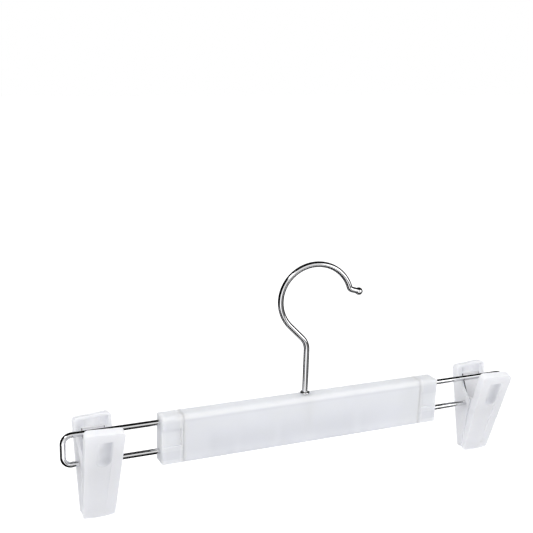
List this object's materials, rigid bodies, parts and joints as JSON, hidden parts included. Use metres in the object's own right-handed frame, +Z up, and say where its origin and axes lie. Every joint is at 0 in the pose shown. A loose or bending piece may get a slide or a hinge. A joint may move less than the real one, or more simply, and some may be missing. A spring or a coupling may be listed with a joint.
{
  "type": "skirt hanger",
  "caption": "Skirt hanger: slim hollow moulded bar on a swivelling wire hook, with a sprung clip that slides on a wire loop at each end of the bar.",
  "frame": {"origin": "where the rail touches the hook: the point of the hook's inner arc over the swivel axis", "axes": "+X along the bar to the right of someone who faces its front, +Y to the back, +Z up"},
  "size_m": [0.2538, 0.0306, 0.1188],
  "materials": {
    "plated_wire": "bright plated",
    "bar_plastic": "frosted, see-through",
    "cap_plastic": "frosted, see-through",
    "jaw_plastic": "frosted, see-through",
    "spring_steel": "plain spring steel"
  },
  "bodies": {
    "hook": {"hook": "plated_wire"},
    "bar_and_loops": {"bar": "bar_plastic", "end_cap_left": "cap_plastic", "end_cap_right": "cap_plastic", "wire_loop_left": "plated_wire", "wire_loop_right": "plated_wire"},
    "left_clip": {"left_spring": "spring_steel"},
    "left_clip_front": {"left_front_jaw": "jaw_plastic"},
    "left_clip_back": {"left_back_jaw": "jaw_plastic"},
    "right_clip": {"right_spring": "spring_steel"},
    "right_clip_front": {"right_front_jaw": "jaw_plastic"},
    "right_clip_back": {"right_back_jaw": "jaw_plastic"}
  },
  "joints": [
    {"name": "bar_swivel", "type": "hinge", "parent": "hook", "child": "bar_and_loops", "pos_m": [0, 0, -0.07], "axis": [0, 0, 1], "continuous": true},
    {"name": "left_clip_slide", "type": "slide", "parent": "bar_and_loops", "child": "left_clip", "axis": [1, 0, 0], "range_m": [-0.0033, 0.0206]},
    {"name": "left_front_jaw_open", "type": "hinge", "parent": "left_clip", "child": "left_clip_front", "pos_m": [-0.109, 0, -0.08603], "axis": [-1, 0, 0], "range_deg": [0, 20], "stiffness_Nm_per_rad": 0.1, "springref_deg": -45.84, "deforming": ["left_spring"]},
    {"name": "left_back_jaw_open", "type": "hinge", "parent": "left_clip", "child": "left_clip_back", "pos_m": [-0.109, 0, -0.08603], "axis": [1, 0, 0], "range_deg": [0, 20]},
    {"name": "right_clip_slide", "type": "slide", "parent": "bar_and_loops", "child": "right_clip", "axis": [1, 0, 0], "range_m": [-0.0216, 0.0023]},
    {"name": "right_front_jaw_open", "type": "hinge", "parent": "right_clip", "child": "right_clip_front", "pos_m": [0.11, 0, -0.08603], "axis": [-1, 0, 0], "range_deg": [0, 20], "stiffness_Nm_per_rad": 0.1, "springref_deg": -45.84, "deforming": ["right_spring"]},
    {"name": "right_back_jaw_open", "type": "hinge", "parent": "right_clip", "child": "right_clip_back", "pos_m": [0.11, 0, -0.08603], "axis": [1, 0, 0], "range_deg": [0, 20]}
  ],
  "couplings": [
    {"joint": "left_back_jaw_open", "follows": "left_front_jaw_open", "ratio": 1},
    {"joint": "right_back_jaw_open", "follows": "right_front_jaw_open", "ratio": 1}
  ]
}
